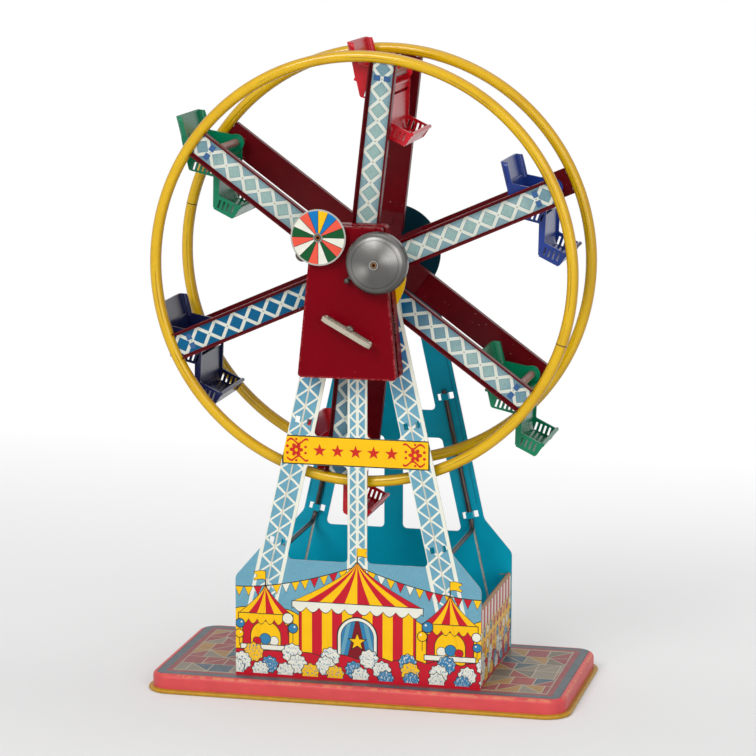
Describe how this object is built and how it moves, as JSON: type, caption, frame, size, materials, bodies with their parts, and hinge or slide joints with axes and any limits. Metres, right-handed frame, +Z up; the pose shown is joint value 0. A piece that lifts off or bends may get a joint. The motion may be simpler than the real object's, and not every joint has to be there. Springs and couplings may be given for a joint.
{
  "type": "wind-up ferris wheel toy",
  "caption": "Wind-up tin ferris wheel toy: printed tower on a tray base, clockwork with key, bell and spinner, turning wheel with hanging plastic gondolas.",
  "frame": {"origin": "on the floor under the middle of the base tray", "axes": "+X to the right seen from the front, +Y to the back, +Z up; the wheel's axle is along Y"},
  "size_m": [0.285, 0.1598, 0.4295],
  "materials": {
    "base_print": "pressed tin tray, salmon sides, printed paving on top, ochre hem",
    "tower_print": "printed tin with lattice girders and a fairground frieze",
    "tower_back": "printed tin, teal on its inner side",
    "side_print": "printed tin side wall with a rolled tan edge",
    "wire_steel": "dull dark steel wire",
    "motor_red": "dark red enamel on tin",
    "rim_yellow": "yellow enamel on rolled tin tube",
    "spoke_print": "maroon enamel, lattice print on the outer face",
    "hub_red": "maroon enamel",
    "rod_tin": "warm tinned tube",
    "axle_steel": "bright drawn steel",
    "gear_brass": "stamped brass",
    "spring_steel": "blued spring steel",
    "key_nickel": "worn nickel plate",
    "bell_steel": "grey spun steel",
    "spinner_print": "printed tin disc with coloured sectors",
    "chair_blue": "moulded blue plastic",
    "chair_red": "moulded red plastic",
    "chair_green": "moulded green plastic",
    "chair_navy": "moulded dark blue plastic"
  },
  "bodies": {
    "stand": {"base_tray": "base_print", "front_panel": "tower_print", "back_panel": "tower_back", "left_side_wall": "side_print", "right_side_wall": "side_print", "left_spreader_wire": "wire_steel", "right_spreader_wire": "wire_steel", "motor_back_plate": "motor_red", "motor_cover": "motor_red", "motor_pillars": "axle_steel", "axle_bushes": "gear_brass", "mainspring": "spring_steel", "bell_post": "gear_brass", "bell_gong": "bell_steel", "pivot_studs": "axle_steel"},
    "winding_key": {"winding_arbor": "axle_steel", "key_handle": "key_nickel", "ratchet_wheel": "axle_steel"},
    "great_wheel": {"great_wheel": "gear_brass", "click": "axle_steel", "click_spring": "spring_steel"},
    "ferris_wheel": {"wheel_axle": "axle_steel", "axle_pinion": "gear_brass", "axle_gear": "gear_brass", "strike_cam": "axle_steel", "front_hub": "hub_red", "back_hub": "hub_red", "front_rim": "rim_yellow", "back_rim": "rim_yellow", "spoke_rivets": "hub_red", "front_spoke_1": "spoke_print", "front_spoke_2": "spoke_print", "front_spoke_3": "spoke_print", "front_spoke_4": "spoke_print", "front_spoke_5": "spoke_print", "front_spoke_6": "spoke_print", "back_spoke_1": "spoke_print", "back_spoke_2": "spoke_print", "back_spoke_3": "spoke_print", "back_spoke_4": "spoke_print", "back_spoke_5": "spoke_print", "back_spoke_6": "spoke_print", "gondola_rod_1": "rod_tin", "gondola_rod_2": "rod_tin", "gondola_rod_3": "rod_tin", "gondola_rod_4": "rod_tin", "gondola_rod_5": "rod_tin", "gondola_rod_6": "rod_tin"},
    "gondola_1": {"gondola_1": "chair_blue"},
    "gondola_2": {"gondola_2": "chair_red"},
    "gondola_3": {"gondola_3": "chair_green"},
    "gondola_4": {"gondola_4": "chair_navy"},
    "gondola_5": {"gondola_5": "chair_red"},
    "gondola_6": {"gondola_6": "chair_green"},
    "middle_wheel": {"middle_wheel": "gear_brass"},
    "spinner": {"spinner_shaft": "axle_steel", "spinner_disc": "spinner_print"},
    "bell_striker": {"bell_striker": "axle_steel"},
    "stop_lever": {"stop_lever": "bell_steel"}
  },
  "joints": [
    {"name": "wheel_spin", "type": "hinge", "parent": "stand", "child": "ferris_wheel", "pos_m": [0, 0, 0.2833], "axis": [0, -1, 0], "continuous": true},
    {"name": "gondola_1_swing", "type": "hinge", "parent": "ferris_wheel", "child": "gondola_1", "pos_m": [0.11446, -0.007, 0.33354], "axis": [0, -1, 0], "continuous": true},
    {"name": "gondola_2_swing", "type": "hinge", "parent": "ferris_wheel", "child": "gondola_2", "pos_m": [0.01372, -0.007, 0.40754], "axis": [0, -1, 0], "continuous": true},
    {"name": "gondola_3_swing", "type": "hinge", "parent": "ferris_wheel", "child": "gondola_3", "pos_m": [-0.10074, -0.007, 0.3573], "axis": [0, -1, 0], "continuous": true},
    {"name": "gondola_4_swing", "type": "hinge", "parent": "ferris_wheel", "child": "gondola_4", "pos_m": [-0.11446, -0.007, 0.23306], "axis": [0, -1, 0], "continuous": true},
    {"name": "gondola_5_swing", "type": "hinge", "parent": "ferris_wheel", "child": "gondola_5", "pos_m": [-0.01372, -0.007, 0.15906], "axis": [0, -1, 0], "continuous": true},
    {"name": "gondola_6_swing", "type": "hinge", "parent": "ferris_wheel", "child": "gondola_6", "pos_m": [0.10074, -0.007, 0.2093], "axis": [0, -1, 0], "continuous": true},
    {"name": "great_wheel_turn", "type": "hinge", "parent": "stand", "child": "great_wheel", "pos_m": [0, -0.066, 0.25005], "axis": [0, -1, 0], "continuous": true},
    {"name": "middle_wheel_turn", "type": "hinge", "parent": "stand", "child": "middle_wheel", "pos_m": [-0.00618, -0.066, 0.30211], "axis": [0, -1, 0], "continuous": true},
    {"name": "spinner_turn", "type": "hinge", "parent": "stand", "child": "spinner", "pos_m": [-0.0194, -0.078, 0.3092], "axis": [0, -1, 0], "continuous": true},
    {"name": "key_turn", "type": "hinge", "parent": "stand", "child": "winding_key", "pos_m": [0, -0.078, 0.25005], "axis": [0, -1, 0], "continuous": true},
    {"name": "bell_strike", "type": "hinge", "parent": "stand", "child": "bell_striker", "pos_m": [0.01643, -0.071, 0.28062], "axis": [0, -1, 0], "range_deg": [-11, 0]},
    {"name": "stop_lever_swing", "type": "hinge", "parent": "stand", "child": "stop_lever", "pos_m": [-0.0169, -0.074, 0.3002], "axis": [0, -1, 0], "range_deg": [0, 22]}
  ],
  "couplings": [
    {"joint": "gondola_1_swing", "follows": "wheel_spin", "ratio": -1},
    {"joint": "gondola_2_swing", "follows": "wheel_spin", "ratio": -1},
    {"joint": "gondola_3_swing", "follows": "wheel_spin", "ratio": -1},
    {"joint": "gondola_4_swing", "follows": "wheel_spin", "ratio": -1},
    {"joint": "gondola_5_swing", "follows": "wheel_spin", "ratio": -1},
    {"joint": "gondola_6_swing", "follows": "wheel_spin", "ratio": -1},
    {"joint": "great_wheel_turn", "follows": "wheel_spin", "ratio": -0.1875},
    {"joint": "middle_wheel_turn", "follows": "wheel_spin", "ratio": -5.6},
    {"joint": "spinner_turn", "follows": "wheel_spin", "ratio": 22.4}
  ]
}
